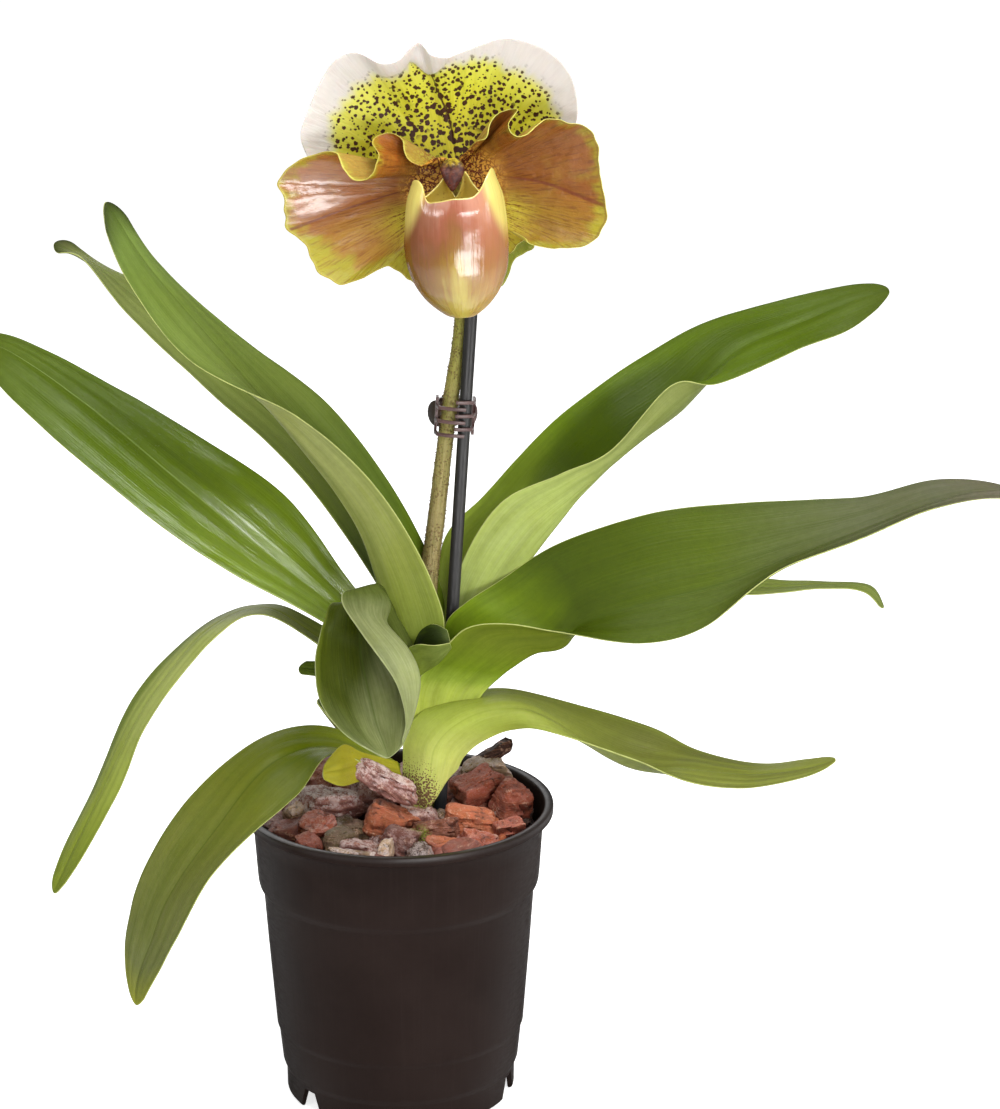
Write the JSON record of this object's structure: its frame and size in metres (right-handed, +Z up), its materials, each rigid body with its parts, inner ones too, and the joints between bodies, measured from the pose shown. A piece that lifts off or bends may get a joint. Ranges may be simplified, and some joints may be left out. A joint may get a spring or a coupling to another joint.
{
  "type": "potted slipper orchid",
  "caption": "Potted slipper orchid: a fan of strap leaves in bark, a staked flower stem with a claw clip, and a pouched flower with a spotted hood.",
  "frame": {"origin": "centre of the pot's underside, on the surface that the pot stands on", "axes": "+Z up, -Y the side that the flower faces, +X the right-hand side seen from the flower's side"},
  "size_m": [0.4093, 0.1473, 0.4141],
  "materials": {
    "pot": "satin dark brown-black moulded plastic",
    "bark": "rough red-brown pine bark",
    "leaf": "waxy mid-green leaf, paler underneath",
    "yellow_leaf": "yellowing old leaf",
    "sheath": "pale green leaf bases",
    "stake": "dark grey plant stick",
    "scape": "olive flower stem with fine brown hairs",
    "ovary": "olive green, hairy",
    "bract": "pale green sheath",
    "dorsal_sepal": "yellow-green with maroon spots and a white margin",
    "petal": "glossy ochre-brown with yellow-green margins",
    "synsepal": "yellow-green",
    "pouch": "very glossy, reddish above and ochre-yellow below",
    "staminode": "glossy maroon",
    "clip": "translucent dark brown-purple plastic",
    "clip_steel": "wound steel spring"
  },
  "bodies": {
    "plant_in_pot": {"pot": "pot", "bark_medium": "bark", "stem_crown": "sheath", "stake": "stake", "leaf_front_cupped": "leaf", "leaf_young": "leaf", "leaf_right_low": "leaf", "leaf_right_wide": "leaf", "leaf_upper_left": "leaf", "leaf_far_left": "leaf", "leaf_left_low": "leaf", "leaf_basal_yellow": "yellow_leaf", "leaf_upper_right": "leaf", "leaf_left_droop": "leaf", "leaf_left_behind": "leaf", "leaf_right_behind": "leaf", "leaf_small_left": "leaf", "leaf_small_low": "leaf", "scape": "scape", "ovary": "ovary", "bract": "bract", "staminode": "staminode", "pouch": "pouch", "synsepal": "synsepal", "petal_right": "petal", "petal_left": "petal", "sepal_dorsal": "dorsal_sepal", "clip_jaw_left": "clip", "clip_pin": "clip", "clip_spring": "clip_steel"},
    "clip_jaw": {"clip_jaw_right": "clip"}
  },
  "joints": [
    {"name": "clip_hinge", "type": "hinge", "parent": "plant_in_pot", "child": "clip_jaw", "pos_m": [0.02196, 0.01349, 0.27003], "axis": [0.0698, 0, 0.9976], "range_deg": [0, 35], "stiffness_Nm_per_rad": 0.003, "springref_deg": -20.05}
  ]
}
